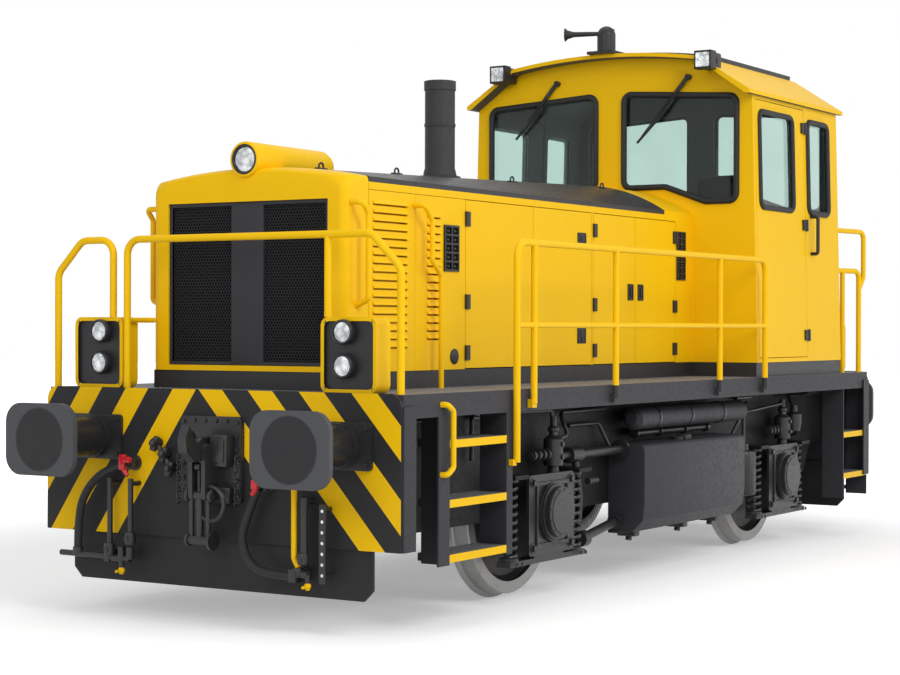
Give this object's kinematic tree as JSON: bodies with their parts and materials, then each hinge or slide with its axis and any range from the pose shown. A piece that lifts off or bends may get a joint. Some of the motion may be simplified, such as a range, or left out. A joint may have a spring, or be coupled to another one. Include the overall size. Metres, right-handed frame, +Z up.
{
  "type": "two-axle diesel shunting locomotive",
  "caption": "Yellow end-cab diesel shunting locomotive: two turning wheelsets, hinged cab doors, folding and hinged bonnet doors, buffers, screw couplings, steps and handrails.",
  "frame": {"origin": "half way between the buffer faces, on the centre line, at the level of the wheel flanges", "axes": "+X forward to the bonnet end, +Y to the left side, +Z up"},
  "size_m": [7.97, 2.616, 3.9801],
  "materials": {
    "yellow_paint": "gloss enamel, warm yellow",
    "warning_stripes": "yellow and black slanted stripes, gloss enamel",
    "charcoal_paint": "satin, near black",
    "frame_grey": "satin dark grey",
    "deck_steel": "chequered tread plate, worn grey",
    "dark_casting": "painted black casting, oily",
    "buffer_steel": "grey, greased in the middle",
    "wheel_steel": "worn tread, dark centre",
    "core_metal": "dark radiator fins",
    "exhaust_black": "heat resistant matt black",
    "window_glass": "clear, faint green",
    "seat_cover": "black cloth",
    "desk_paint": "satin grey",
    "lamp_black": "black housing",
    "hose_rubber": "ribbed black rubber"
  },
  "bodies": {
    "chassis": {"underframe": "frame_grey", "walkway_deck": "deck_steel", "front_headstock": "warning_stripes", "rear_headstock": "warning_stripes", "deflector_plates": "charcoal_paint", "buffer_casings": "dark_casting", "buffer_heads": "buffer_steel", "draw_hooks": "dark_casting", "screw_couplings": "dark_casting", "axleboxes": "dark_casting", "suspension_springs": "dark_casting", "brake_rigging": "dark_casting", "fuel_tanks": "charcoal_paint", "air_reservoirs": "dark_casting", "front_steps": "frame_grey", "rear_steps": "frame_grey", "bonnet_plinth": "charcoal_paint", "front_cowl": "yellow_paint", "radiator_grille": "charcoal_paint", "radiator_core": "core_metal", "bonnet_shell": "yellow_paint", "bonnet_side_panels": "yellow_paint", "bonnet_top_panels": "charcoal_paint", "engine_block": "dark_casting", "exhaust_stack": "exhaust_black", "top_lamp": "yellow_paint", "cab_shell": "yellow_paint", "cab_roof": "yellow_paint", "cab_floor": "charcoal_paint", "cab_windows": "window_glass", "driver_seat": "seat_cover", "control_desk": "desk_paint", "headlight_boxes": "yellow_paint", "roof_lamps": "lamp_black", "horn": "lamp_black", "side_handrail_left": "yellow_paint", "side_handrail_right": "yellow_paint", "front_handrail": "yellow_paint", "rear_handrails": "yellow_paint", "grab_rails": "yellow_paint", "brake_hose_front_left": "hose_rubber", "brake_hose_front_right": "hose_rubber", "brake_hose_rear_left": "hose_rubber", "brake_hose_rear_right": "hose_rubber", "brake_fittings": "dark_casting"},
    "front_axle": {"front_wheelset": "wheel_steel"},
    "rear_axle": {"rear_wheelset": "wheel_steel"},
    "cab_door_left": {"cab_door_left": "yellow_paint", "door_glass_left": "window_glass"},
    "folding_door_front_left": {"folding_door_front_left": "yellow_paint"},
    "folding_door_rear_left": {"folding_door_rear_left": "yellow_paint"},
    "side_door_front_left": {"side_door_front_left": "yellow_paint"},
    "side_door_rear_left": {"side_door_rear_left": "yellow_paint"},
    "cab_door_right": {"cab_door_right": "yellow_paint", "door_glass_right": "window_glass"},
    "folding_door_front_right": {"folding_door_front_right": "yellow_paint"},
    "folding_door_rear_right": {"folding_door_rear_right": "yellow_paint"},
    "side_door_front_right": {"side_door_front_right": "yellow_paint"},
    "side_door_rear_right": {"side_door_rear_right": "yellow_paint"}
  },
  "joints": [
    {"name": "front_axle_turn", "type": "hinge", "parent": "chassis", "child": "front_axle", "pos_m": [1.585, 0, 0.555], "axis": [0, 1, 0], "continuous": true},
    {"name": "rear_axle_turn", "type": "hinge", "parent": "chassis", "child": "rear_axle", "pos_m": [-2.085, 0, 0.555], "axis": [0, 1, 0], "continuous": true},
    {"name": "cab_door_left_hinge", "type": "hinge", "parent": "chassis", "child": "cab_door_left", "pos_m": [-2.293, 1.22837, 1.585], "axis": [0, -0.0254, 0.9997], "range_deg": [0, 90]},
    {"name": "folding_door_front_left_hinge", "type": "hinge", "parent": "chassis", "child": "folding_door_front_left", "pos_m": [1.95, 0.7093, 1.43], "axis": [0, 0, -1], "range_deg": [0, 40]},
    {"name": "folding_door_rear_left_hinge", "type": "hinge", "parent": "folding_door_front_left", "child": "folding_door_rear_left", "pos_m": [1.115, 0.6647, 1.43], "axis": [0, 0, 1], "range_deg": [0, 80]},
    {"name": "side_door_front_left_hinge", "type": "hinge", "parent": "chassis", "child": "side_door_front_left", "pos_m": [0.288, 0.7093, 1.43], "axis": [0, 0, -1], "range_deg": [0, 55]},
    {"name": "side_door_rear_left_hinge", "type": "hinge", "parent": "chassis", "child": "side_door_rear_left", "pos_m": [-1, 0.7093, 1.43], "axis": [0, 0, 1], "range_deg": [0, 55]},
    {"name": "cab_door_right_hinge", "type": "hinge", "parent": "chassis", "child": "cab_door_right", "pos_m": [-2.293, -1.22837, 1.585], "axis": [0, -0.0254, -0.9997], "range_deg": [0, 90]},
    {"name": "folding_door_front_right_hinge", "type": "hinge", "parent": "chassis", "child": "folding_door_front_right", "pos_m": [1.95, -0.7093, 1.43], "axis": [0, 0, 1], "range_deg": [0, 40]},
    {"name": "folding_door_rear_right_hinge", "type": "hinge", "parent": "folding_door_front_right", "child": "folding_door_rear_right", "pos_m": [1.115, -0.6647, 1.43], "axis": [0, 0, -1], "range_deg": [0, 80]},
    {"name": "side_door_front_right_hinge", "type": "hinge", "parent": "chassis", "child": "side_door_front_right", "pos_m": [0.288, -0.7093, 1.43], "axis": [0, 0, 1], "range_deg": [0, 55]},
    {"name": "side_door_rear_right_hinge", "type": "hinge", "parent": "chassis", "child": "side_door_rear_right", "pos_m": [-1, -0.7093, 1.43], "axis": [0, 0, -1], "range_deg": [0, 55]}
  ],
  "couplings": [
    {"joint": "folding_door_rear_left_hinge", "follows": "folding_door_front_left_hinge", "ratio": 2},
    {"joint": "folding_door_rear_right_hinge", "follows": "folding_door_front_right_hinge", "ratio": 2}
  ]
}
